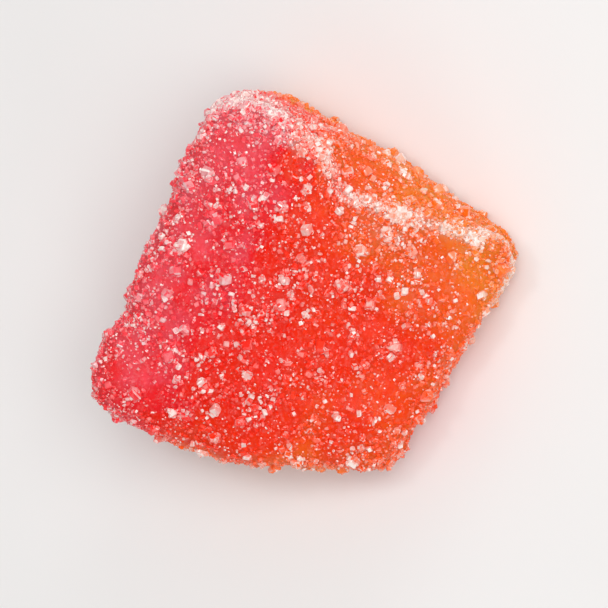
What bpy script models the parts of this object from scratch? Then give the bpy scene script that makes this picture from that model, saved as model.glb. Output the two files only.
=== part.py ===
"""A sugared gummy sweet: a soft rounded wedge that lies on one of its two large faces.

The thick end points to +Y and the thin end to -Y. The large face on top slopes down to the
thin end. The largest sugar crystals stand on the gel and are fused to it.
"""

import math
import random

import bmesh
import bpy
from mathutils import Euler, Matrix, Vector

# Driving dimensions of the gel, in metres, before its edges are rounded
THICK_END_WIDTH = 0.0237
THICK_END_DEPTH = 0.0169
THIN_END_WIDTH = 0.0193
THIN_END_DEPTH = 0.0063
LENGTH = 0.0222
THIN_END_SKEW = math.radians(9.0)
THIN_END_OFFSET = 0.0007

# Cells of the coarse cage: an edge is rounded by about 0.57 of the cell beside it
WIDTH_CELLS = 5
LENGTH_CELLS = 4
DEPTH_CELLS = 4
SMOOTHING_LEVELS = 2
CAGE_TOLERANCE = 0.01

# How far the middles of the narrow faces and of the large faces swell outwards
NARROW_FACE_SWELLING = 0.00065
LARGE_FACE_SWELLING = 0.0003

# Places of the cage (a box from -1 to 1) that are pressed in or pulled out: where, how far
# the pull reaches in box units, and how far it moves the gel in metres
SIDE_SWELLING = ((-1.0, 0.3, 0.2), 0.8, (-0.0027, 0.0004, 0.0))
THICK_CORNER_DENT = ((-1.0, 1.0, 0.0), 0.7, (0.0013, -0.0007, 0.0))
THIN_CORNER_SWELLING = ((-1.0, -1.0, 0.0), 0.6, (0.0005, -0.0013, 0.0))
THIN_CORNER_DENT = ((1.0, -1.0, 0.0), 0.6, (-0.0015, 0.0, 0.0))
PULLS = (SIDE_SWELLING, THICK_CORNER_DENT, THIN_CORNER_SWELLING, THIN_CORNER_DENT)

# The upper edge beside the +X narrow face is a crisper ridge. A dent steps into it a third of
# the way along and fades towards the thin end. In box units: where it starts, how soon it is at
# its full depth, how slowly it fades, how far it reaches across the upper large face and down
# the narrow face, and the power that makes the narrow face hollow there
RIDGE_CREASE = 0.3
DENT_DEPTH = 0.0023
DENT_START = 0.3
DENT_RISE = 0.2
DENT_FADE = 1.1
DENT_REACH_ACROSS = 0.7
DENT_REACH_DOWN = 1.2
DENT_HOLLOWNESS = 1.3

# Unevenness of the gel: how wide its waves and dimples are, and how far they rise
WAVE_SIZE = 0.0056
WAVE_HEIGHT = 0.0007
DIMPLE_SIZE = 0.0021
DIMPLE_HEIGHT = 0.00045
FLATTENED_DEPTH = 0.0006

# The largest sugar crystals: edge lengths, spacing, and how far their centres stand out
CRYSTAL_COUNT = 225
CRYSTAL_SIZES = (0.0004, 0.0008)
CRYSTAL_SPACING = 0.0015
CRYSTAL_LIFT = 0.08
CRYSTAL_PROPORTIONS = (0.75, 1.2)
CRYSTAL_UNEVENNESS = 0.14
CRYSTAL_SEED = 7

GEL_COLOUR = (0.90, 0.09, 0.045, 1.0)
GEL_ROUGHNESS = 0.35
SHARP_ANGLE = math.radians(35.0)


def clear_scene():
    """Removes what a new file holds."""
    for item in list(bpy.data.objects):
        bpy.data.objects.remove(item)


def new_collection(name):
    """A collection linked to the scene."""
    collection = bpy.data.collections.new(name)
    bpy.context.scene.collection.children.link(collection)
    return collection


def gel_material():
    """Soft red gel, the mean of its pink and orange ends."""
    material = bpy.data.materials.new("gel")
    material.use_nodes = True
    shader = material.node_tree.nodes["Principled BSDF"]
    shader.inputs["Base Color"].default_value = GEL_COLOUR
    shader.inputs["Roughness"].default_value = GEL_ROUGHNESS
    shader.inputs["Metallic"].default_value = 0.0
    return material


def add_object(name, shape, collection):
    """Writes a bmesh to a new object in the collection."""
    mesh = bpy.data.meshes.new(name)
    shape.to_mesh(mesh)
    shape.free()
    item = bpy.data.objects.new(name, mesh)
    collection.objects.link(item)
    return item


def box_grid(cells):
    """A box from -1 to 1 whose faces are cut into so many cells along X, Y and Z."""
    shape = bmesh.new()
    bmesh.ops.create_cube(shape, size=2.0)
    for axis, count in enumerate(cells):
        along = [
            edge
            for edge in shape.edges
            if abs(edge.verts[0].co[axis] - edge.verts[1].co[axis]) > 1.0
        ]
        bmesh.ops.subdivide_edges(shape, edges=along, cuts=count - 1, use_grid_fill=True)
    return shape


def between(start, end, share):
    """The value at a share of the way from start to end."""
    return start + (end - start) * share


def pull(box_point):
    """How far the pressed and pulled places move the gel at a point of the box."""
    total = Vector()
    for place, reach, movement in PULLS:
        distance = (box_point - Vector(place)).length
        total += Vector(movement) * math.exp(-((distance / reach) ** 2))
    return total


def wedge_point(box_point):
    """Takes a point of the box to the wedge, lying with its lower large face at height 0."""
    side, end, top = box_point
    along = (1.0 - end) / 2.0
    width = between(THICK_END_WIDTH, THIN_END_WIDTH, along) / 2.0
    depth = between(THICK_END_DEPTH, THIN_END_DEPTH, along) / 2.0
    width += NARROW_FACE_SWELLING * (1.0 - end**2) * (1.0 - top**2)
    depth += LARGE_FACE_SWELLING * (1.0 - end**2) * (1.0 - side**2)
    across = side * width + (along - 0.5) * THIN_END_OFFSET
    upright = Vector((across, -along * LENGTH, top * depth))
    upright.y -= along * upright.x * math.tan(THIN_END_SKEW)
    half_taper = math.atan((THICK_END_DEPTH - THIN_END_DEPTH) / 2.0 / LENGTH)
    upright.rotate(Euler((half_taper, 0.0, 0.0)))
    upright.z += math.cos(half_taper) * THICK_END_DEPTH / 2.0
    return upright + pull(box_point)


def smooth_step(share):
    """Rises softly from 0 to 1 as the share does."""
    share = min(max(share, 0.0), 1.0)
    return share * share * (3.0 - 2.0 * share)


def dent_depth(box_point):
    """How far the dent presses the gel in at a point of the box."""
    side, end, top = box_point
    begun = smooth_step((DENT_START - end) / DENT_RISE)
    past = max(0.0, DENT_START - DENT_RISE - end)
    left = max(0.0, 1.0 - past / DENT_FADE)
    across = smooth_step(1.0 - (1.0 - side) / DENT_REACH_ACROSS)
    down = max(0.0, 1.0 - (1.0 - top) / DENT_REACH_DOWN) ** DENT_HOLLOWNESS
    return DENT_DEPTH * begun * left * across * down


def press_dent(gel):
    """Presses the dent into the smoothed gel, whose vertices know their places on the box."""
    places = gel.data.attributes["box_place"]
    for vertex, place in zip(gel.data.vertices, places.data):
        vertex.co.x -= dent_depth(place.vector)
    gel.data.attributes.remove(places)


def crease_ridge(cage):
    """Makes the upper edge beside the +X narrow face crisper than the others."""
    crease = cage.edges.layers.float.new("crease_edge")
    for edge in cage.edges:
        if all(min(vertex.co.x, vertex.co.z) > 1.0 - CAGE_TOLERANCE for vertex in edge.verts):
            edge[crease] = RIDGE_CREASE


def add_relief(item, name, size, height):
    """Raises and lowers the surface by smooth noise of the given size."""
    texture = bpy.data.textures.new(name, "CLOUDS")
    texture.noise_scale = size
    texture.noise_depth = 0
    relief = item.modifiers.new(name, "DISPLACE")
    relief.texture = texture
    relief.texture_coords = "LOCAL"
    relief.mid_level = 0.5
    relief.strength = height


def apply_modifiers(item):
    """Replaces the object's mesh by the one that its modifiers make."""
    graph = bpy.context.evaluated_depsgraph_get()
    finished = bpy.data.meshes.new_from_object(item.evaluated_get(graph))
    item.modifiers.clear()
    item.data = finished


def bounds(item):
    """The lowest and highest corner of the object's mesh."""
    places = [vertex.co for vertex in item.data.vertices]
    low = Vector([min(place[axis] for place in places) for axis in range(3)])
    high = Vector([max(place[axis] for place in places) for axis in range(3)])
    return low, high


def set_down(gel):
    """Puts the origin below the gel's middle, with its lowest part just under height 0."""
    low, high = bounds(gel)
    middle = (low + high) / 2.0
    underside = Vector((middle.x, middle.y, low.z + FLATTENED_DEPTH))
    gel.data.transform(Matrix.Translation(-underside))


def flatten_underside(gel, cutters):
    """Cuts off what is below height 0, which leaves a flat place to rest on."""
    low, high = bounds(gel)
    size = (high - low) * 2.0
    shape = bmesh.new()
    bmesh.ops.create_cube(shape, size=1.0)
    bmesh.ops.scale(shape, vec=size, verts=shape.verts)
    cutter = add_object("floor_cut", shape, cutters)
    cutter.location.z = -size.z / 2.0
    cutter.hide_render = True
    cutter.display_type = "WIRE"
    cut = gel.modifiers.new("flat underside", "BOOLEAN")
    cut.operation = "DIFFERENCE"
    cut.object = cutter
    cut.solver = "EXACT"
    apply_modifiers(gel)


def triangulate(item):
    """Cuts every face of the object into triangles."""
    shape = bmesh.new()
    shape.from_mesh(item.data)
    bmesh.ops.triangulate(shape, faces=shape.faces)
    shape.to_mesh(item.data)
    shape.free()


def make_gel(sweets, cutters):
    """The bare wedge: a coarse cage, smoothed, made uneven and flattened where it lies."""
    cage = box_grid((WIDTH_CELLS, LENGTH_CELLS, DEPTH_CELLS))
    crease_ridge(cage)
    box_places = [number for vertex in cage.verts for number in vertex.co]
    for vertex in cage.verts:
        vertex.co = wedge_point(vertex.co)
    gel = add_object("gummy", cage, sweets)
    places = gel.data.attributes.new("box_place", "FLOAT_VECTOR", "POINT")
    places.data.foreach_set("vector", box_places)
    smooth = gel.modifiers.new("smooth", "SUBSURF")
    smooth.levels = SMOOTHING_LEVELS
    smooth.render_levels = SMOOTHING_LEVELS
    apply_modifiers(gel)
    press_dent(gel)
    add_relief(gel, "waves", WAVE_SIZE, WAVE_HEIGHT)
    add_relief(gel, "dimples", DIMPLE_SIZE, DIMPLE_HEIGHT)
    apply_modifiers(gel)
    set_down(gel)
    triangulate(gel)
    flatten_underside(gel, cutters)
    triangulate(gel)
    return gel


def point_on(triangle, vertices, draw):
    """A random point of a triangle."""
    first = math.sqrt(draw.random())
    second = draw.random()
    a, b, c = (vertices[index].co for index in triangle.vertices)
    return a * (1.0 - first) + b * first * (1.0 - second) + c * first * second


def crystal_places(gel, draw):
    """Evenly spread points of the gel and its normals there, clear of the underside."""
    gel.data.calc_loop_triangles()
    triangles = gel.data.loop_triangles
    areas = [triangle.area for triangle in triangles]
    lowest = max(CRYSTAL_SIZES)
    places = []
    while len(places) < CRYSTAL_COUNT:
        triangle = draw.choices(triangles, weights=areas)[0]
        point = point_on(triangle, gel.data.vertices, draw)
        near = any((point - other).length < CRYSTAL_SPACING for other, normal in places)
        if point.z > lowest and not near:
            places.append((point, triangle.normal.copy()))
    return places


def crystal_shape(size, draw):
    """A blocky crystal with uneven corners."""
    shape = bmesh.new()
    bmesh.ops.create_cube(shape, size=1.0)
    edges = Vector([draw.uniform(*CRYSTAL_PROPORTIONS) for axis in range(3)])
    for corner in shape.verts:
        shift = [draw.uniform(-CRYSTAL_UNEVENNESS, CRYSTAL_UNEVENNESS) for axis in range(3)]
        corner.co = (corner.co + Vector(shift)) * edges * size
    bmesh.ops.triangulate(shape, faces=shape.faces)
    return shape


def add_crystals(gel, crystals):
    """The largest crystals, biggest first, turned at random and partly sunk in the gel."""
    draw = random.Random(CRYSTAL_SEED)
    smallest, largest = CRYSTAL_SIZES
    for index, (point, normal) in enumerate(crystal_places(gel, draw)):
        size = between(largest, smallest, index / CRYSTAL_COUNT)
        crystal = add_object(f"crystal_{index:03d}", crystal_shape(size, draw), crystals)
        crystal.rotation_euler = [draw.uniform(0.0, math.tau) for axis in range(3)]
        crystal.location = point + normal * size * CRYSTAL_LIFT


def fuse_crystals(gel, crystals):
    """Joins the crystals to the gel as one solid and removes their own objects."""
    union = gel.modifiers.new("crystals", "BOOLEAN")
    union.operation = "UNION"
    union.operand_type = "COLLECTION"
    union.collection = crystals
    union.solver = "EXACT"
    apply_modifiers(gel)
    for crystal in list(crystals.objects):
        bpy.data.objects.remove(crystal)
    bpy.data.collections.remove(crystals)


def separate_surfaces(shape):
    """The sets of vertices that edges link."""
    unseen = set(shape.verts)
    surfaces = []
    while unseen:
        front = [unseen.pop()]
        surface = set(front)
        while front:
            vertex = front.pop()
            linked = {edge.other_vert(vertex) for edge in vertex.link_edges} & unseen
            unseen -= linked
            surface |= linked
            front.extend(linked)
        surfaces.append(surface)
    return surfaces


def keep_outer_surface(item):
    """Drops loose scraps and fills sealed hollows: they are the smaller separate surfaces."""
    shape = bmesh.new()
    shape.from_mesh(item.data)
    outer = max(separate_surfaces(shape), key=len)
    loose = [vertex for vertex in shape.verts if vertex not in outer]
    bmesh.ops.delete(shape, geom=loose, context="VERTS")
    shape.to_mesh(item.data)
    shape.free()


def finish(gel):
    """Gives the solid its material and shading."""
    gel.data.materials.clear()
    gel.data.materials.append(gel_material())
    gel.data.shade_smooth()
    gel.data.set_sharp_from_angle(angle=SHARP_ANGLE)


def main():
    clear_scene()
    sweets = new_collection("spicy_mango_gummy")
    cutters = new_collection("cutters")
    crystals = new_collection("crystals")
    gel = make_gel(sweets, cutters)
    add_crystals(gel, crystals)
    fuse_crystals(gel, crystals)
    keep_outer_surface(gel)
    triangulate(gel)
    finish(gel)


main()
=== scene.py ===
"""A sugared gummy sweet, pink at its thick end and orange at its thin end, on a pale floor."""

import math
import random
from collections import namedtuple

import bmesh
import bpy
import numpy as np
from mathutils import Euler, Matrix, Vector, noise


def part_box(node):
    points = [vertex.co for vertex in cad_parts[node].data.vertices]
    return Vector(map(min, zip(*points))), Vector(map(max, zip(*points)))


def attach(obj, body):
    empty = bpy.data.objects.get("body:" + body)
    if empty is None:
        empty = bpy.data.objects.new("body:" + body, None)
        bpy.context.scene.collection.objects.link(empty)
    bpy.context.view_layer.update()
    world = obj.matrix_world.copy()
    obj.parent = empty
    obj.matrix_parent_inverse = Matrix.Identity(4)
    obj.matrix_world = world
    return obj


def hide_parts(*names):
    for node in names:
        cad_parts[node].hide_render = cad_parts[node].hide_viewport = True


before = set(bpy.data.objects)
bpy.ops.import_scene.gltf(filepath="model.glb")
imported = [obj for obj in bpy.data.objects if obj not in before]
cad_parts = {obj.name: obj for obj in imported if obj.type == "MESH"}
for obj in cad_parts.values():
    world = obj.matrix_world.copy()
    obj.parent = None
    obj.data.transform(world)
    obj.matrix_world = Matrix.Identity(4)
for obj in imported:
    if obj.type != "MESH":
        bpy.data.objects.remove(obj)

# The gel's shape, with the values of the CAD model: all lengths are in metres
THICK_END_WIDTH = 0.0237
THICK_END_DEPTH = 0.0169
THIN_END_WIDTH = 0.0193
THIN_END_DEPTH = 0.0063
LENGTH = 0.0222
THIN_END_SKEW = math.radians(9.0)
THIN_END_OFFSET = 0.0007
NARROW_FACE_SWELLING = 0.00065
LARGE_FACE_SWELLING = 0.0003

# The coarse cage is a box from -1 to 1: its cells across, along and through the wedge, and how
# near to a side of the box a vertex counts as on it
CAGE_CELLS = (5, 4, 4)
CAGE_TOLERANCE = 0.01

# Places of the box that are pressed in or pulled out: where, how far the pull reaches in box
# units, and how far it moves the gel in metres
SIDE_SWELLING = ((-1.0, 0.3, 0.2), 0.8, (-0.0027, 0.0004, 0.0))
THICK_CORNER_DENT = ((-1.0, 1.0, 0.0), 0.7, (0.0013, -0.0007, 0.0))
THIN_CORNER_SWELLING = ((-1.0, -1.0, 0.0), 0.6, (0.0005, -0.0013, 0.0))
THIN_CORNER_DENT = ((1.0, -1.0, 0.0), 0.6, (-0.0015, 0.0, 0.0))
PULLS = (SIDE_SWELLING, THICK_CORNER_DENT, THIN_CORNER_SWELLING, THIN_CORNER_DENT)

# The crisp ridge beside the +X narrow face, and the dent that steps into it: the depth is in
# metres, the start along the ridge and the reaches are in box units
RIDGE_CREASE = 0.3
DENT_DEPTH = 0.0023
DENT_START = 0.3
DENT_RISE = 0.2
DENT_FADE = 1.1
DENT_REACH_ACROSS = 0.7
DENT_REACH_DOWN = 1.2
DENT_HOLLOWNESS = 1.3

# How often the cage is smoothed for the CAD model's gel and for the visible gel
COARSE_LEVELS = 2
FINE_LEVELS = 4

# The relief of both, in metres, and the grit, which only the visible gel has
WAVE_SIZE = 0.0056
WAVE_HEIGHT = 0.0007
DIMPLE_SIZE = 0.0021
DIMPLE_HEIGHT = 0.00045
GRIT_SIZE = 0.0009
GRIT_HEIGHT = 0.00016

# How much of the gel's lowest part is flat, in metres
FLATTENED_DEPTH = 0.0006

# The largest crystals stand where the CAD model has them. Sizes and spacing are in metres, the
# rest in shares of a crystal's size
CRYSTAL_COUNT = 225
CRYSTAL_SIZES = (0.0004, 0.0008)
CRYSTAL_SPACING = 0.0015
CRYSTAL_LIFT = 0.08
CRYSTAL_PROPORTIONS = (0.75, 1.2)
CRYSTAL_UNEVENNESS = 0.14
CRYSTAL_SEED = 7

# Each of them is a clump: smaller crystals grow on its sides. Sizes and distances are shares of
# the large crystal's size, and the last value says how far a small one's whiteness is its own
CLUMP_EXTRAS = 6
CLUMP_SIZE = (0.28, 0.55)
CLUMP_SPREAD = (0.35, 0.62)
CLUMP_OWN_WHITENESS = 0.5

# Shapes of all grains, as shares of their size: how uneven their corners are, how their edges
# differ in length, and the bevel of those that are large enough to show one
GRAIN_UNEVENNESS = 0.16
GRAIN_PROPORTIONS = (0.7, 1.35)
GRAIN_BEVEL = 0.16

# Smaller sugar, scattered over the gel: edge lengths in metres, how few grains are white (the
# higher the power, the fewer), how much they cluster, and how much thicker they lie on the frost
# paths. The size power says the same of how few grains are large
SIZE_POWER = 1.6
SUGAR_COATS = (
    {
        "name": "sugar_medium",
        "material": "sugar_grains",
        "count": 3600,
        "sizes": (0.00022, 0.00040),
        "bevel": GRAIN_BEVEL,
        "seed": 11,
        "white_power": 4.8,
        "clustering": 1.0,
        "frost_excess": 3.0,
    },
    {
        "name": "sugar_fine",
        "material": "sugar_fine_grains",
        "count": 16600,
        "sizes": (0.00010, 0.00022),
        "bevel": 0.0,
        "seed": 12,
        "white_power": 6.2,
        "clustering": 0.65,
        "frost_excess": 7.0,
    },
    {
        "name": "sugar_dust",
        "material": "sugar_dust",
        "count": 16600,
        "sizes": (0.00007, 0.00013),
        "bevel": 0.0,
        "seed": 13,
        "white_power": 3.0,
        "clustering": 0.35,
        "frost_excess": 10.0,
    },
)

# Grains are between glassy (0) and white (1), and the sides of each differ at random, partly as
# clearer and cloudier sugar and partly as painted glints where a side is pushed to white. Glassy
# ones sink into the gel and white ones stand out of it, by these shares of their size
CRYSTAL_WHITE_POWER = 1.7
LEAST_WHITE = 0.02
MOST_WHITE = 0.94
FACE_CLOUD_AND_GLINT_CONTRAST = 0.35
CLEAR_LIFT = -0.18
WHITE_LIFT = 0.22

# White sugar dust gathers along paths over the gel, above all on the ridge: box places on each,
# how thickly it lies there and how far to both sides, in metres
RIDGE_FROST = (
    ((0.8, 1.0, 0.6), 0.7, 0.0012),
    ((1.0, 1.0, 0.55), 1.0, 0.0022),
    ((1.0, 0.75, 0.65), 1.0, 0.0020),
    ((1.0, 0.5, 1.0), 0.7, 0.0008),
    ((1.0, 0.2, 0.95), 0.7, 0.0006),
    ((1.0, 0.0, 1.0), 0.7, 0.0005),
    ((1.0, -0.3, 1.0), 0.85, 0.0006),
    ((1.0, -0.5, 1.0), 0.7, 0.0005),
    ((1.0, -0.75, 1.0), 0.85, 0.0006),
    ((1.0, -1.0, 0.0), 1.0, 0.0008),
    ((0.6, -1.0, 0.15), 0.9, 0.0007),
    ((0.4, -1.0, 0.5), 0.2, 0.0004),
)
THICK_EDGE_FROST = (
    ((0.7, 1.0, 0.9), 0.10, 0.0018),
    ((0.0, 1.0, 1.0), 0.06, 0.0018),
    ((-0.55, 1.0, 1.0), 0.07, 0.0018),
    ((-0.9, 1.0, 1.0), 0.05, 0.0016),
)
NARROW_FACE_FROST = (
    ((1.0, 0.6, 0.65), 0.38, 0.0012),
    ((1.0, 0.4, 0.45), 0.32, 0.0009),
    ((1.0, 0.2, 0.25), 0.12, 0.0007),
)
LARGE_FACE_FROST = (
    ((0.76, -0.15, 1.0), 0.35, 0.0004),
    ((0.76, -0.35, 1.0), 0.5, 0.0005),
)
FROST_PATHS = (RIDGE_FROST, THICK_EDGE_FROST, NARROW_FACE_FROST, LARGE_FACE_FROST)

# The spots from one place of a path to the next, how white grains get in the frost, and the size
# of its patches in metres and how much they differ
FROST_STEPS = 12
FROST_WHITE = 0.9
FROST_PATCH_SIZE = 0.0011
FROST_UNEVENNESS = 1.0

# Sugar lies in clusters, each kind with its size in metres and its strength, and is whiter there
CLUSTERS = ((0.0026, 1.5), (0.0010, 1.7))
CLUSTER_WHITENESS = 0.5

# It is thinner on the steep sides, which have normals of these heights, and its grains are less
# white there: painted shade for the lesser light that those sides get
SIDE_SUGAR = 0.9
SHADED_SIDE_WHITENESS = 0.6
STEEP_SIDE = -0.1
GENTLE_SLOPE = 0.6

# The pink layer fills the thick end up to two planes, each a direction and how far along it the
# plane lies. They meet in a rounded corner, and the colours blend over a short way
PINK_PLANES = (
    ((-0.82, 0.47, 0.32), -0.0026),
    ((0.12, 0.94, 0.32), 0.0063),
)
PINK_ROUNDING = 0.004
PINK_BLEND = 0.0026

# The rest goes from orange below to red above: in which direction, from where to where along it,
# and how far towards the pink it gets
MANGO_DIRECTION = (0.12, 0.0, 0.99)
MANGO_REACH = (0.0036, 0.0132)
MANGO_REDDEST = 0.6

# Both borders wander: by which noise, as below, and how far over to both sides, in metres
PINK_WANDER = ((300.0, 2.0, 0.5), 0.004)
MANGO_WANDER = ((230.0, 2.0, 0.5), 0.003)

# Patches of other colour: place, how far, and the change on the way from orange (0) to pink (1)
PINK_PATCHES = (
    ((0.0105, 0.0085, 0.0140), 0.012, 0.14),
    ((-0.0030, 0.0095, 0.0150), 0.009, 0.12),
)
MANGO_PATCHES = (
    ((0.0097, -0.0100, 0.0100), 0.0085, -0.30),
    ((-0.0043, -0.0095, 0.0), 0.011, 0.30),
    ((0.0087, -0.0005, 0.0118), 0.011, -0.30),
    ((0.0110, 0.0020, 0.0118), 0.0040, -0.16),
    ((0.0111, -0.0050, 0.0058), 0.0050, -0.06),
)

# Colours of the gel, of its darker mottles and of the white sugar that it shines through, from
# the thin orange end to the thick pink end
GEL_COLOURS = (
    (0.0, (1.0, 0.220, 0.014)),
    (0.16, (1.0, 0.112, 0.005)),
    (0.34, (0.98, 0.033, 0.001)),
    (0.52, (0.94, 0.012, 0.001)),
    (0.74, (0.92, 0.011, 0.017)),
    (1.0, (0.92, 0.064, 0.092)),
)
DEEP_COLOURS = (
    (0.0, (0.90, 0.125, 0.004)),
    (0.34, (0.82, 0.012, 0.001)),
    (1.0, (0.74, 0.010, 0.018)),
)
SUGAR_COLOURS = (
    (0.0, (0.80, 0.69, 0.59)),
    (0.3, (0.78, 0.64, 0.58)),
    (0.55, (0.77, 0.61, 0.58)),
    (1.0, (0.78, 0.65, 0.66)),
)

# The colour of the whitest sugar, and between which degrees of white the grains take it on
BRIGHT_SUGAR = (0.95, 0.80, 0.75)
BRIGHT_FROM = (0.8, 0.94)

# The two shades of the card under the gummy
CARD_COLOURS = ((0.80, 0.79, 0.78), (0.84, 0.83, 0.82))

# Noise in the materials: scale (features are 1/scale metres wide), detail and roughness
PINK_NOISE = (520.0, 2.0, 0.5)
MOTTLE_NOISE = (1700.0, 3.0, 0.6)
SPECK_NOISE = (3600.0, 3.0, 0.6)
PATCH_NOISE = (620.0, 2.0, 0.5)
RELIEF_NOISE = (1300.0, 2.0, 0.5)
CLOUD_NOISE = (4200.0, 2.0, 0.5)
POLISH_NOISE = (9000.0, 1.0, 0.5)
CARD_NOISE = (40.0, 3.0, 0.5)

# What becomes of it: the noise values where a range starts and ends, and what they are taken to
PINK_SHARES = (0.35, 0.65, 0.72, 0.93)
MOTTLE_SHARES = (0.35, 0.65, 0.0, 0.4)
DUST_SPECKS = (0.48, 0.7, 0.0, 0.16)
DUST_PATCHES = (0.3, 0.7, 0.35, 1.0)
FROST_HAZE = (0.3, 0.7, 0.2, 0.65)
GEL_ROUGHNESS = (0.3, 0.7, 0.28, 0.6)
SUGAR_CLOUDS = (0.35, 0.65, 0.72, 1.2)
SUGAR_ROUGHNESS = (0.3, 0.7, 0.06, 0.3)

# The gel's finest relief: how strongly the specks add to it, its strength and its depth in metres
SPECK_RELIEF = 0.5
BUMP_STRENGTH = 0.5
BUMP_DEPTH = 0.00012

# What the shaders have all over
GEL_SHADER = {
    "Subsurface Weight": 0.7,
    "Subsurface Radius": (1.0, 0.28, 0.16),
    "Subsurface Scale": 0.0022,
    "IOR": 1.45,
    "Specular IOR Level": 0.15,
}
SUGAR_SHADER = {"IOR": 1.55}
CARD_SHADER = {"Roughness": 0.8}

# The camera: where it looks from, as it stands to the gummy in the photo
CAMERA_AZIMUTH = math.radians(24.6)
CAMERA_ELEVATION = math.radians(67.7)
CAMERA_ROLL = math.radians(-66.0)
CAMERA_DISTANCE = 0.45
CAMERA_TARGET = (0.0, 0.0, 0.006)
CAMERA_CLIP = (0.01, 20.0)
VIEW_WIDTH = 0.043
SENSOR_WIDTH = 36.0

# Soft square lights: direction to the picture's right, to its top and towards the camera, then
# distance and width in metres and power in watts
LIGHTS = {
    "key": ((0.05, 0.06, 1.0), 0.40, 0.26, 0.96),
    "top": ((0.2, 1.0, 0.4), 0.35, 0.14, 0.20),
    "side": ((0.3, -0.8, 0.5), 0.35, 0.12, 0.11),
    "sparkle": ((-0.4, 0.2, 1.0), 0.30, 0.05, 0.10),
}
WALL_COLOUR = (1.0, 1.0, 1.0, 1.0)
WALL_BRIGHTNESS = 0.42

FLOOR_SIZE = 3.0
FLOOR_CELLS = 40
FLOOR_HEIGHT = -0.00002

# The block that all sugar is made from, and the gel's triangles with what decides their sugar
Template = namedtuple("Template", "corners shares triangles points")
Surface = namedtuple("Surface", "corners middles normals areas frost clusters gentle")


def add_object(name, mesh):
    """A new object with the mesh, linked to the scene."""
    item = bpy.data.objects.new(name, mesh)
    bpy.context.scene.collection.objects.link(item)
    return item


def add_shape(name, shape):
    """Writes a bmesh to a new object."""
    mesh = bpy.data.meshes.new(name)
    shape.to_mesh(mesh)
    shape.free()
    return add_object(name, mesh)


def box_grid(cells):
    """A box from -1 to 1 whose faces are cut into so many cells along X, Y and Z."""
    shape = bmesh.new()
    bmesh.ops.create_cube(shape, size=2.0)
    for axis, count in enumerate(cells):
        along = [
            edge
            for edge in shape.edges
            if abs(edge.verts[0].co[axis] - edge.verts[1].co[axis]) > 1.0
        ]
        bmesh.ops.subdivide_edges(shape, edges=along, cuts=count - 1, use_grid_fill=True)
    return shape


def between(start, end, share):
    """The value at a share of the way from start to end."""
    return start + (end - start) * share


def pull(box_point):
    """How far the pressed and pulled places move the gel at a point of the box."""
    total = Vector()
    for place, reach, movement in PULLS:
        distance = (box_point - Vector(place)).length
        total += Vector(movement) * math.exp(-((distance / reach) ** 2))
    return total


def wedge_point(box_point):
    """Takes a point of the box to the wedge, lying with its lower large face at height 0."""
    side, end, top = box_point
    along = (1.0 - end) / 2.0
    width = between(THICK_END_WIDTH, THIN_END_WIDTH, along) / 2.0
    depth = between(THICK_END_DEPTH, THIN_END_DEPTH, along) / 2.0
    width += NARROW_FACE_SWELLING * (1.0 - end**2) * (1.0 - top**2)
    depth += LARGE_FACE_SWELLING * (1.0 - end**2) * (1.0 - side**2)
    across = side * width + (along - 0.5) * THIN_END_OFFSET
    upright = Vector((across, -along * LENGTH, top * depth))
    upright.y -= along * upright.x * math.tan(THIN_END_SKEW)
    half_taper = math.atan((THICK_END_DEPTH - THIN_END_DEPTH) / 2.0 / LENGTH)
    upright.rotate(Euler((half_taper, 0.0, 0.0)))
    upright.z += math.cos(half_taper) * THICK_END_DEPTH / 2.0
    return upright + pull(box_point)


def smooth_step(share):
    """Rises softly from 0 to 1 as the share does."""
    share = min(max(share, 0.0), 1.0)
    return share * share * (3.0 - 2.0 * share)


def dent_depth(box_point):
    """How far the dent in the ridge presses the gel in at a point of the box."""
    side, end, top = box_point
    begun = smooth_step((DENT_START - end) / DENT_RISE)
    past = max(0.0, DENT_START - DENT_RISE - end)
    left = max(0.0, 1.0 - past / DENT_FADE)
    across = smooth_step(1.0 - (1.0 - side) / DENT_REACH_ACROSS)
    down = max(0.0, 1.0 - (1.0 - top) / DENT_REACH_DOWN) ** DENT_HOLLOWNESS
    return DENT_DEPTH * begun * left * across * down


def crease_ridge(cage):
    """Makes the upper edge beside the +X narrow face crisper than the others."""
    crease = cage.edges.layers.float.new("crease_edge")
    for edge in cage.edges:
        if all(min(vertex.co.x, vertex.co.z) > 1.0 - CAGE_TOLERANCE for vertex in edge.verts):
            edge[crease] = RIDGE_CREASE


def add_relief(item, name, size, height):
    """Raises and lowers the surface by smooth noise of the given size."""
    texture = bpy.data.textures.new(name, "CLOUDS")
    texture.noise_scale = size
    texture.noise_depth = 0
    relief = item.modifiers.new(name, "DISPLACE")
    relief.texture = texture
    relief.texture_coords = "LOCAL"
    relief.mid_level = 0.5
    relief.strength = height


def apply_modifiers(item):
    """Replaces the object's mesh by the one that its modifiers make."""
    graph = bpy.context.evaluated_depsgraph_get()
    finished = bpy.data.meshes.new_from_object(item.evaluated_get(graph))
    item.modifiers.clear()
    item.data = finished


def bounds(item):
    """The lowest and highest corner of the object's mesh."""
    places = [vertex.co for vertex in item.data.vertices]
    low = Vector([min(place[axis] for place in places) for axis in range(3)])
    high = Vector([max(place[axis] for place in places) for axis in range(3)])
    return low, high


def triangulate(item):
    """Cuts every face of the object into triangles."""
    shape = bmesh.new()
    shape.from_mesh(item.data)
    bmesh.ops.triangulate(shape, faces=shape.faces)
    shape.to_mesh(item.data)
    shape.free()


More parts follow.
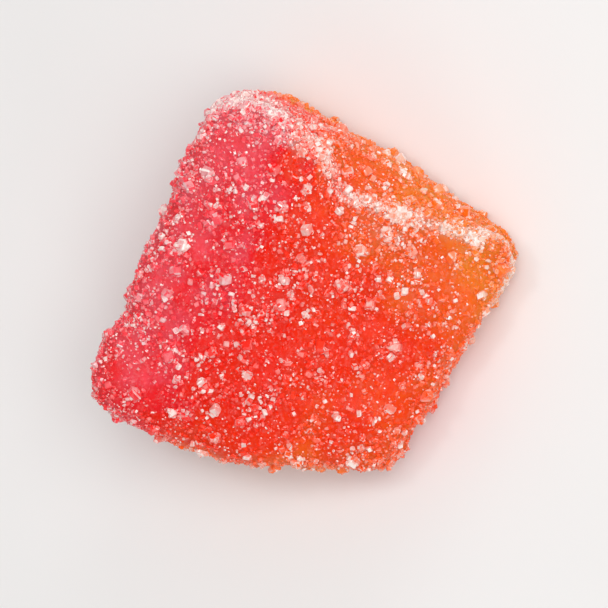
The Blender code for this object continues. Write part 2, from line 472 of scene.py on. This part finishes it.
def smoothed_wedge(name, levels):
    """The gel before it is set down. Its vertices keep their places on the box."""
    cage = box_grid(CAGE_CELLS)
    crease_ridge(cage)
    box_places = [number for vertex in cage.verts for number in vertex.co]
    for vertex in cage.verts:
        vertex.co = wedge_point(vertex.co)
    gel = add_shape(name, cage)
    places = gel.data.attributes.new("box_place", "FLOAT_VECTOR", "POINT")
    places.data.foreach_set("vector", box_places)
    smooth = gel.modifiers.new("smooth", "SUBSURF")
    smooth.levels = levels
    smooth.render_levels = levels
    apply_modifiers(gel)
    for vertex, place in zip(gel.data.vertices, gel.data.attributes["box_place"].data):
        vertex.co.x -= dent_depth(place.vector)
    add_relief(gel, "waves", WAVE_SIZE, WAVE_HEIGHT)
    add_relief(gel, "dimples", DIMPLE_SIZE, DIMPLE_HEIGHT)
    return gel


def set_down(gel):
    """Puts the origin below the gel's middle, its lowest part just under height 0."""
    low, high = bounds(gel)
    middle = (low + high) / 2.0
    move = -Vector((middle.x, middle.y, low.z + FLATTENED_DEPTH))
    gel.data.transform(Matrix.Translation(move))
    return move


def flatten_underside(gel):
    """Cuts off what is below height 0."""
    low, high = bounds(gel)
    size = (high - low) * 2.0
    shape = bmesh.new()
    bmesh.ops.create_cube(shape, size=1.0)
    bmesh.ops.scale(shape, vec=size, verts=shape.verts)
    cutter = add_shape("floor_cut", shape)
    cutter.location.z = -size.z / 2.0
    cut = gel.modifiers.new("flat underside", "BOOLEAN")
    cut.operation = "DIFFERENCE"
    cut.object = cutter
    cut.solver = "EXACT"
    apply_modifiers(gel)
    bpy.data.objects.remove(cutter)


def coarse_gel():
    """The CAD model's bare gel, and how far it was moved to set it down."""
    gel = smoothed_wedge("coarse_gel", COARSE_LEVELS)
    apply_modifiers(gel)
    move = set_down(gel)
    triangulate(gel)
    flatten_underside(gel)
    triangulate(gel)
    return gel, move


def keep_inside(points, box):
    """The points, none of them outside the box."""
    low, high = np.array(box)
    return np.clip(points, low, high)


def read_vectors(items, name):
    """A vector of each vertex, or of each value of an attribute, as an array."""
    numbers = np.zeros(len(items) * 3)
    items.foreach_get(name, numbers)
    return numbers.reshape(-1, 3)


def fine_gel(move, box):
    """The visible gel, the same wedge but smoother and with finer relief, and its frost spots."""
    gel = smoothed_wedge("gel_body", FINE_LEVELS)
    add_relief(gel, "grit", GRIT_SIZE, GRIT_HEIGHT)
    apply_modifiers(gel)
    gel.data.transform(Matrix.Translation(move))
    points = keep_inside(read_vectors(gel.data.vertices, "co"), box)
    gel.data.vertices.foreach_set("co", points.reshape(-1))
    gel.data.update()
    spots = frost_spots(gel)
    frost = gel.data.attributes.new("frost", "FLOAT", "POINT")
    frost.data.foreach_set("value", frost_shares(points, spots))
    gel.data.shade_smooth()
    return gel, spots


def frost_spots(gel):
    """The frost paths as places on the gel, each with its thickness and its reach."""
    points = read_vectors(gel.data.vertices, "co")
    box_places = read_vectors(gel.data.attributes["box_place"].data, "vector")
    spots = []
    for path in FROST_PATHS:
        for (start, before, wide), (end, after, narrow) in zip(path, path[1:]):
            for share in np.linspace(0.0, 1.0, FROST_STEPS):
                wanted = between(np.array(start), np.array(end), share)
                nearest = np.linalg.norm(box_places - wanted, axis=1).argmin()
                spots.append(
                    (points[nearest], between(before, after, share), between(wide, narrow, share))
                )
    return spots


def noise_at(points, size):
    """Smooth noise between about -1 and 1 at each point, with features of the size."""
    return np.array([noise.noise(Vector(point) / size) for point in points])


def frost_shares(points, spots):
    """How thickly dust lies at each point, from 0 to 1: it fades away from the spots, in patches."""
    shares = np.zeros(len(points))
    for middle, thickness, reach in spots:
        away = np.linalg.norm(points - middle, axis=1)
        shares = np.maximum(shares, thickness * np.exp(-((away / reach) ** 2)))
    patches = noise_at(points, FROST_PATCH_SIZE)
    return np.clip(shares * (1.0 + FROST_UNEVENNESS * patches), 0.0, 1.0)


def cluster_weights(points):
    """More than 1 where sugar clusters, and less than 1 in the gaps."""
    return np.exp(sum(strength * noise_at(points, size) for size, strength in CLUSTERS))


def gentle_shares(normals):
    """1 on gentle slopes, and 0 on the steep sides and below."""
    return np.clip((normals[:, 2] - STEEP_SIDE) / (GENTLE_SLOPE - STEEP_SIDE), 0.0, 1.0)


def gel_surface(mesh, spots):
    """The mesh's triangles as arrays, with what decides how much sugar lies on each."""
    mesh.calc_loop_triangles()
    indices = np.zeros(len(mesh.loop_triangles) * 3, dtype=np.int64)
    mesh.loop_triangles.foreach_get("vertices", indices)
    a, b, c = read_vectors(mesh.vertices, "co")[indices.reshape(-1, 3).T]
    across = np.cross(b - a, c - a)
    doubled = np.linalg.norm(across, axis=1)
    normals = across / np.maximum(doubled[:, None], np.finfo(float).tiny)
    middles = (a + b + c) / 3.0
    frost = frost_shares(middles, spots)
    clusters = cluster_weights(middles)
    return Surface(
        (a, b, c), middles, normals, doubled / 2.0, frost, clusters, gentle_shares(normals)
    )


def point_on(triangle, vertices, draw):
    """A random point of a triangle."""
    first = math.sqrt(draw.random())
    second = draw.random()
    a, b, c = (vertices[index].co for index in triangle.vertices)
    return a * (1.0 - first) + b * first * (1.0 - second) + c * first * second


def points_on(surface, chosen, draw):
    """A random point of each chosen triangle of the surface."""
    first = np.sqrt(draw.random(len(chosen)))[:, None]
    second = draw.random(len(chosen))[:, None]
    a, b, c = (corner[chosen] for corner in surface.corners)
    return a * (1.0 - first) + b * first * (1.0 - second) + c * first * second


def crystal_places(gel, draw):
    """Evenly spread points of the gel and its normals there, clear of the underside."""
    gel.data.calc_loop_triangles()
    triangles = gel.data.loop_triangles
    areas = [triangle.area for triangle in triangles]
    lowest = max(CRYSTAL_SIZES)
    places = []
    while len(places) < CRYSTAL_COUNT:
        triangle = draw.choices(triangles, weights=areas)[0]
        point = point_on(triangle, gel.data.vertices, draw)
        near = any((point - other).length < CRYSTAL_SPACING for other, normal in places)
        if point.z > lowest and not near:
            places.append((point, triangle.normal.copy()))
    return places


def block_template(bevel):
    """A cube with edges of 1, bevelled by a share of that: the 8 corners before the bevel, each
    vertex as shares of these corners, the triangles, and the vertices' own places."""
    shape = bmesh.new()
    bmesh.ops.create_cube(shape, size=2.0)
    corners = np.array([vertex.co[:] for vertex in shape.verts])
    if bevel > 0.0:
        bmesh.ops.bevel(
            shape,
            geom=shape.edges[:],
            offset=bevel * 2.0,
            segments=1,
            affect="EDGES",
            profile=0.5,
        )
    bmesh.ops.triangulate(shape, faces=shape.faces)
    shape.verts.ensure_lookup_table()
    points = np.array([vertex.co[:] for vertex in shape.verts])
    # Sorted, because the faces don't come in the same order each run
    triangles = sorted([vertex.index for vertex in face.verts] for face in shape.faces)
    shares = np.prod((1.0 + points[:, None, :] * corners[None, :, :]) / 2.0, axis=2)
    shape.free()
    return Template(corners / 2.0, shares, np.array(triangles), points / 2.0)


def random_turns(count, draw):
    """As many random rotation matrices."""
    four = draw.normal(size=(count, 4))
    four /= np.linalg.norm(four, axis=1)[:, None]
    w, x, y, z = four.T
    return np.stack(
        [
            np.stack([1 - 2 * (y * y + z * z), 2 * (x * y - z * w), 2 * (x * z + y * w)], 1),
            np.stack([2 * (x * y + z * w), 1 - 2 * (x * x + z * z), 2 * (y * z - x * w)], 1),
            np.stack([2 * (x * z - y * w), 2 * (y * z + x * w), 1 - 2 * (x * x + y * y)], 1),
        ],
        axis=1,
    )


def side_whites_and_glints(whites, template, seed):
    """How white each triangle is: a grain's sides differ, some as painted glints and some clear."""
    whites = between(LEAST_WHITE, MOST_WHITE, whites)
    a, b, c = template.points[template.triangles.T]
    across = np.cross(b - a, c - a)
    normals = np.round(across / np.linalg.norm(across, axis=1)[:, None], 2)
    sides = np.unique(normals, axis=0, return_inverse=True)[1].reshape(-1)
    draw = np.random.default_rng(seed)
    # Random spread of whiteness between a grain's sides; the sides that it pushes near white are
    # painted glints
    spread = draw.normal(0.0, FACE_CLOUD_AND_GLINT_CONTRAST, size=(len(whites), sides.max() + 1))
    room = np.sqrt(whites * (1.0 - whites)) * 2.0
    return np.clip(whites[:, None] + room[:, None] * spread[:, sides], 0.0, 1.0).reshape(-1)


def joined_blocks(name, corners, whites, template, box):
    """One mesh of many blocks, each given by its 8 corners and how white it is."""
    points = np.einsum("vc,ncx->nvx", template.shares, corners)
    count, each = points.shape[:2]
    points = keep_inside(points.reshape(-1, 3), box)
    faces = template.triangles[None] + (np.arange(count) * each)[:, None, None]
    mesh = bpy.data.meshes.new(name)
    mesh.from_pydata(points.tolist(), [], faces.reshape(-1, 3).tolist())
    mesh.update()
    layer = mesh.attributes.new("white", "FLOAT", "FACE")
    layer.data.foreach_set("value", side_whites_and_glints(whites, template, count))
    return add_object(name, mesh)


def crystal_block(size, template, draw):
    """The corners of one of the CAD model's crystals, turned at random."""
    edges = np.array([draw.uniform(*CRYSTAL_PROPORTIONS) for axis in range(3)])
    shifts = np.array(
        [
            [draw.uniform(-CRYSTAL_UNEVENNESS, CRYSTAL_UNEVENNESS) for axis in range(3)]
            for corner in template.corners
        ]
    )
    turn = np.array(Euler([draw.uniform(0.0, math.tau) for axis in range(3)]).to_matrix())
    return ((template.corners + shifts) * edges * size) @ turn.T


def grown_block(size, template, draw):
    """The corners of a small crystal of a clump, turned at random."""
    shifts = draw.uniform(-GRAIN_UNEVENNESS, GRAIN_UNEVENNESS, size=template.corners.shape)
    turn = random_turns(1, draw)[0]
    return ((template.corners + shifts) * size) @ turn.T


def outward(normal, draw):
    """A random direction that doesn't point into the gel."""
    away = draw.normal(size=3)
    away /= np.linalg.norm(away)
    return away - normal * min(0.0, away @ normal)


def coarse_sugar(gel, spots, box):
    """The CAD model's crystals with bevelled edges, each with smaller ones grown on it."""
    draw = random.Random(CRYSTAL_SEED)
    template = block_template(GRAIN_BEVEL)
    smallest, largest = CRYSTAL_SIZES
    blocks = []
    crystals = []
    for index, (point, normal) in enumerate(crystal_places(gel, draw)):
        size = between(largest, smallest, index / CRYSTAL_COUNT)
        centre = np.array(point + normal * size * CRYSTAL_LIFT)
        blocks.append(crystal_block(size, template, draw) + centre)
        crystals.append((centre, np.array(normal), size))
    grown = np.random.default_rng(CRYSTAL_SEED)
    frost = frost_shares(np.array([centre for centre, normal, size in crystals]), spots)
    own_whites = grown.random(len(crystals)) ** CRYSTAL_WHITE_POWER
    whites = list(np.maximum(own_whites, FROST_WHITE * frost))
    for (centre, normal, size), white in zip(crystals, whites[:]):
        for extra in range(CLUMP_EXTRAS):
            away = outward(normal, grown)
            block = grown_block(size * grown.uniform(*CLUMP_SIZE), template, grown)
            place = centre + away * size * grown.uniform(*CLUMP_SPREAD)
            blocks.append(block + place)
            whites.append(between(white, grown.random(), CLUMP_OWN_WHITENESS))
    return joined_blocks("sugar_coarse", np.array(blocks), np.array(whites), template, box)


def random_blocks(sizes, template, draw):
    """The corners of a grain of each size, uneven and turned at random."""
    count = len(sizes)
    shape = (count, *template.corners.shape)
    shifts = draw.uniform(-GRAIN_UNEVENNESS, GRAIN_UNEVENNESS, size=shape)
    stretch = draw.uniform(*GRAIN_PROPORTIONS, size=(count, 1, 3))
    blocks = (template.corners[None] + shifts) * stretch * sizes[:, None, None]
    return np.einsum("nij,ncj->nci", random_turns(count, draw), blocks)


def scattered_sugar(surface, coat, box):
    """Many small grains on the gel, partly sunk in it and turned at random."""
    draw = np.random.default_rng(coat["seed"])
    template = block_template(coat["bevel"])
    smallest, largest = coat["sizes"]
    clusters = surface.clusters ** coat["clustering"]
    spread = between(SIDE_SUGAR, 1.0, surface.gentle) + coat["frost_excess"] * surface.frost
    weights = surface.areas * clusters * spread
    weights[surface.middles[:, 2] < smallest] = 0.0
    chosen = draw.choice(len(weights), size=coat["count"], p=weights / weights.sum())
    places = points_on(surface, chosen, draw)
    sizes = between(smallest, largest, draw.random(coat["count"]) ** SIZE_POWER)
    whites = draw.random(coat["count"]) ** coat["white_power"]
    # Painted shade: grains on the steep sides are made less white, as those sides get less light
    side_shade = between(SHADED_SIDE_WHITENESS, 1.0, surface.gentle)
    whites *= (clusters**CLUSTER_WHITENESS * side_shade)[chosen]
    whites = np.clip(whites + FROST_WHITE * surface.frost[chosen], 0.0, 1.0)
    lifts = between(CLEAR_LIFT, WHITE_LIFT, np.sqrt(whites))
    places += surface.normals[chosen] * (sizes * lifts)[:, None]
    blocks = random_blocks(sizes, template, draw) + places[:, None, :]
    return joined_blocks(coat["name"], blocks, whites, template, box)


def add_node(tree, kind, **values):
    """A new node with the given properties, and input values where the name is an input."""
    made = tree.nodes.new(kind)
    for name, value in values.items():
        if hasattr(made, name) and name not in made.inputs:
            setattr(made, name, value)
        else:
            made.inputs[name].default_value = value
    return made


def set_inputs(tree, sockets, values):
    """Gives each socket its value: a number, a place, a colour or another socket."""
    for socket, value in zip(sockets, values):
        if isinstance(value, bpy.types.NodeSocket):
            tree.links.new(value, socket)
        elif socket.type == "RGBA":
            socket.default_value = (*value, 1.0)
        else:
            socket.default_value = value


def noise_node(tree, place, scale, detail, roughness):
    """Noise between 0 and 1 at the object's own places."""
    made = add_node(tree, "ShaderNodeTexNoise", Scale=scale, Detail=detail, Roughness=roughness)
    tree.links.new(place, made.inputs["Vector"])
    return made.outputs["Fac"]


def attribute_node(tree, name):
    """A number that the mesh has at each vertex or face."""
    return add_node(tree, "ShaderNodeAttribute", attribute_name=name).outputs["Fac"]


def math_node(tree, operation, *values):
    """The result of a sum on sockets or numbers."""
    made = add_node(tree, "ShaderNodeMath", operation=operation)
    set_inputs(tree, made.inputs, values)
    return made.outputs[0]


def vector_node(tree, operation, place, other):
    """The dot product of a place and a direction, or its distance from another place."""
    made = add_node(tree, "ShaderNodeVectorMath", operation=operation)
    set_inputs(tree, made.inputs, (place, other))
    return made.outputs["Value"]


def range_node(tree, value, start, end, low=0.0, high=1.0, shape="LINEAR"):
    """Takes start to low and end to high, and stops there."""
    made = add_node(tree, "ShaderNodeMapRange", interpolation_type=shape)
    set_inputs(tree, made.inputs, (value, start, end, low, high))
    return made.outputs[0]


def ramp_node(tree, value, stops):
    """A colour for each value between 0 and 1."""
    made = add_node(tree, "ShaderNodeValToRGB")
    made.color_ramp.interpolation = "EASE"
    elements = made.color_ramp.elements
    while len(elements) < len(stops):
        elements.new(1.0)
    for element, (place, colour) in zip(elements, stops):
        element.position = place
        element.color = (*colour, 1.0)
    tree.links.new(value, made.inputs[0])
    return made.outputs[0]


def mix_node(tree, kind, share, first, second):
    """A mix of two values, which are numbers (VALUE) or colours (RGBA)."""
    data_type = {"VALUE": "FLOAT", "RGBA": "RGBA"}[kind]
    made = add_node(tree, "ShaderNodeMix", data_type=data_type)
    ends = [socket for socket in made.inputs if socket.type == kind and socket.name in "AB"]
    set_inputs(tree, (made.inputs[0], *ends), (share, first, second))
    return next(socket for socket in made.outputs if socket.type == kind)


def wandering(tree, place, noise_values, distance):
    """A distance that wanders to both sides of 0."""
    centred = math_node(tree, "SUBTRACT", noise_node(tree, place, *noise_values), 0.5)
    return math_node(tree, "MULTIPLY", centred, distance * 2.0)


def pink_share(tree, place):
    """1 in the pink layer and 0 outside it, with a soft uneven border."""
    depths = [
        math_node(tree, "SUBTRACT", vector_node(tree, "DOT_PRODUCT", place, direction), offset)
        for direction, offset in PINK_PLANES
    ]
    inside = math_node(tree, "SMOOTH_MIN", *depths, PINK_ROUNDING)
    inside = math_node(tree, "ADD", inside, wandering(tree, place, *PINK_WANDER))
    half = PINK_BLEND / 2.0
    return range_node(tree, inside, -half, half, shape="SMOOTHSTEP")


def with_patches(tree, place, value, patches):
    """The value with the change of each patch, which fades away from the patch's middle."""
    for middle, reach, change in patches:
        away = vector_node(tree, "DISTANCE", place, middle)
        faded = range_node(tree, away, 0.0, reach, change, 0.0, "SMOOTHSTEP")
        value = math_node(tree, "ADD", value, faded)
    return value


def layer_share(tree, place):
    """Where a place lies between the orange (0) and the pink (1), unevenly."""
    height = vector_node(tree, "DOT_PRODUCT", place, MANGO_DIRECTION)
    height = math_node(tree, "ADD", height, wandering(tree, place, *MANGO_WANDER))
    mango = range_node(tree, height, *MANGO_REACH, 0.0, MANGO_REDDEST)
    mango = with_patches(tree, place, mango, MANGO_PATCHES)
    pink = range_node(tree, noise_node(tree, place, *PINK_NOISE), *PINK_SHARES)
    pink = with_patches(tree, place, pink, PINK_PATCHES)
    return mix_node(tree, "VALUE", pink_share(tree, place), mango, pink)


def new_material(name, shader_values):
    """A material with the shader values, its node tree, its shader and its object coordinates."""
    material = bpy.data.materials.new(name)
    material.use_nodes = True
    tree = material.node_tree
    shader = tree.nodes["Principled BSDF"]
    for socket, value in shader_values.items():
        shader.inputs[socket].default_value = value
    place = add_node(tree, "ShaderNodeTexCoord").outputs["Object"]
    return material, tree, shader, place


def gel_material():
    """Soft moist gel that light enters, dusted with sugar too fine to model."""
    material, tree, shader, place = new_material("gel_gummy", GEL_SHADER)
    layer = layer_share(tree, place)
    mottles = range_node(tree, noise_node(tree, place, *MOTTLE_NOISE), *MOTTLE_SHARES)
    deep = ramp_node(tree, layer, DEEP_COLOURS)
    bare = mix_node(tree, "RGBA", mottles, ramp_node(tree, layer, GEL_COLOURS), deep)
    specks = noise_node(tree, place, *SPECK_NOISE)
    patches = noise_node(tree, place, *PATCH_NOISE)
    dust = range_node(tree, specks, *DUST_SPECKS)
    dust = math_node(tree, "MULTIPLY", dust, range_node(tree, patches, *DUST_PATCHES))
    haze = range_node(tree, patches, *FROST_HAZE)
    frost = math_node(tree, "MULTIPLY", attribute_node(tree, "frost"), haze)
    white = mix_node(tree, "RGBA", frost, ramp_node(tree, layer, SUGAR_COLOURS), BRIGHT_SUGAR)
    colour = mix_node(tree, "RGBA", math_node(tree, "MAXIMUM", dust, frost), bare, white)
    tree.links.new(colour, shader.inputs["Base Color"])
    tree.links.new(range_node(tree, specks, *GEL_ROUGHNESS), shader.inputs["Roughness"])
    soft = noise_node(tree, place, *RELIEF_NOISE)
    relief = math_node(tree, "MULTIPLY_ADD", specks, SPECK_RELIEF, soft)
    bump = add_node(tree, "ShaderNodeBump", Strength=BUMP_STRENGTH, Distance=BUMP_DEPTH)
    tree.links.new(relief, bump.inputs["Height"])
    tree.links.new(bump.outputs["Normal"], shader.inputs["Normal"])
    return material


def sugar_material(name):
    """Sugar crystals, from glassy ones with the gel's colour to cloudy white ones."""
    material, tree, shader, place = new_material(name, SUGAR_SHADER)
    # The white attribute holds each grain's whiteness, with painted glints on some sides and painted
    # shade on the steep sides
    white = attribute_node(tree, "white")
    clouds = range_node(tree, noise_node(tree, place, *CLOUD_NOISE), *SUGAR_CLOUDS)
    layer = layer_share(tree, place)
    gel = ramp_node(tree, layer, GEL_COLOURS)
    bright = range_node(tree, white, *BRIGHT_FROM)
    sugar = mix_node(tree, "RGBA", bright, ramp_node(tree, layer, SUGAR_COLOURS), BRIGHT_SUGAR)
    share = math_node(tree, "MULTIPLY", white, clouds)
    tree.links.new(mix_node(tree, "RGBA", share, gel, sugar), shader.inputs["Base Color"])
    roughness = range_node(tree, noise_node(tree, place, *POLISH_NOISE), *SUGAR_ROUGHNESS)
    tree.links.new(roughness, shader.inputs["Roughness"])
    return material


def floor_material():
    """Matt white card with a faint unevenness."""
    material, tree, shader, place = new_material("white_card", CARD_SHADER)
    faint = noise_node(tree, place, *CARD_NOISE)
    tree.links.new(mix_node(tree, "RGBA", faint, *CARD_COLOURS), shader.inputs["Base Color"])
    return material


def set_material(item, material):
    """Gives the whole object the material."""
    item.data.materials.clear()
    item.data.materials.append(material)


def camera_axes():
    """The picture's right, up and towards-the-camera directions."""
    view = Vector(
        (
            math.sin(CAMERA_AZIMUTH) * math.cos(CAMERA_ELEVATION),
            -math.cos(CAMERA_AZIMUTH) * math.cos(CAMERA_ELEVATION),
            math.sin(CAMERA_ELEVATION),
        )
    )
    flat = Vector((1.0, 0.0, 0.0)) - view * view.x
    flat.normalize()
    side = view.cross(flat)
    right = flat * math.cos(CAMERA_ROLL) + side * math.sin(CAMERA_ROLL)
    down = flat * math.sin(CAMERA_ROLL) - side * math.cos(CAMERA_ROLL)
    return right, -down, view


def standing_at(right, up, back, place):
    """The matrix of an object that looks along its own -Z from a place."""
    return Matrix.Translation(place) @ Matrix((right, up, back)).transposed().to_4x4()


def add_camera():
    """The camera at the photo's viewing angle."""
    right, up, view = camera_axes()
    lens = bpy.data.cameras.new("camera")
    lens.sensor_width = SENSOR_WIDTH
    lens.lens = SENSOR_WIDTH * CAMERA_DISTANCE / VIEW_WIDTH
    lens.clip_start, lens.clip_end = CAMERA_CLIP
    place = Vector(CAMERA_TARGET) + view * CAMERA_DISTANCE
    item = bpy.data.objects.new("camera", lens)
    item.matrix_world = standing_at(right, up, view, place)
    bpy.context.scene.collection.objects.link(item)
    bpy.context.scene.camera = item


def add_light(name, direction, distance, width, power):
    """A square soft light that faces the gummy."""
    lamp = bpy.data.lights.new(name, "AREA")
    lamp.size = width
    lamp.energy = power
    item = bpy.data.objects.new(name, lamp)
    direction = direction.normalized()
    item.rotation_euler = direction.to_track_quat("Z", "Y").to_euler()
    item.location = Vector(CAMERA_TARGET) + direction * distance
    bpy.context.scene.collection.objects.link(item)


def add_lights():
    """A large soft light beside the camera, three small ones for glints, and pale walls."""
    right, up, view = camera_axes()
    for name, ((across, high, near), distance, width, power) in LIGHTS.items():
        direction = view * near + up * high + right * across
        add_light(name, direction, distance, width, power)
    world = bpy.data.worlds.new("studio")
    world.use_nodes = True
    walls = world.node_tree.nodes["Background"]
    walls.inputs["Color"].default_value = WALL_COLOUR
    walls.inputs["Strength"].default_value = WALL_BRIGHTNESS
    bpy.context.scene.world = world
    bpy.context.scene.view_settings.view_transform = "Standard"


def add_floor():
    """The pale floor under the gummy."""
    shape = bmesh.new()
    bmesh.ops.create_grid(
        shape, x_segments=FLOOR_CELLS, y_segments=FLOOR_CELLS, size=FLOOR_SIZE / 2.0
    )
    floor = add_shape("floor", shape)
    floor.location.z = FLOOR_HEIGHT
    set_material(floor, floor_material())


def build_gummy(box):
    """The gel and its sugar, which stand for the CAD node."""
    coarse, move = coarse_gel()
    gel, spots = fine_gel(move, box)
    large = coarse_sugar(coarse, spots, box)
    bpy.data.objects.remove(coarse)
    set_material(gel, gel_material())
    set_material(large, sugar_material("sugar_crystals"))
    pieces = [gel, large]
    surface = gel_surface(gel.data, spots)
    for coat in SUGAR_COATS:
        grains = scattered_sugar(surface, coat, box)
        set_material(grains, sugar_material(coat["material"]))
        pieces.append(grains)
    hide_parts("gummy")
    for piece in pieces:
        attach(piece, "root")


def main():
    """Makes the scene."""
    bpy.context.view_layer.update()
    build_gummy(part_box("gummy"))
    add_floor()
    add_camera()
    add_lights()
    bpy.context.view_layer.update()


main()
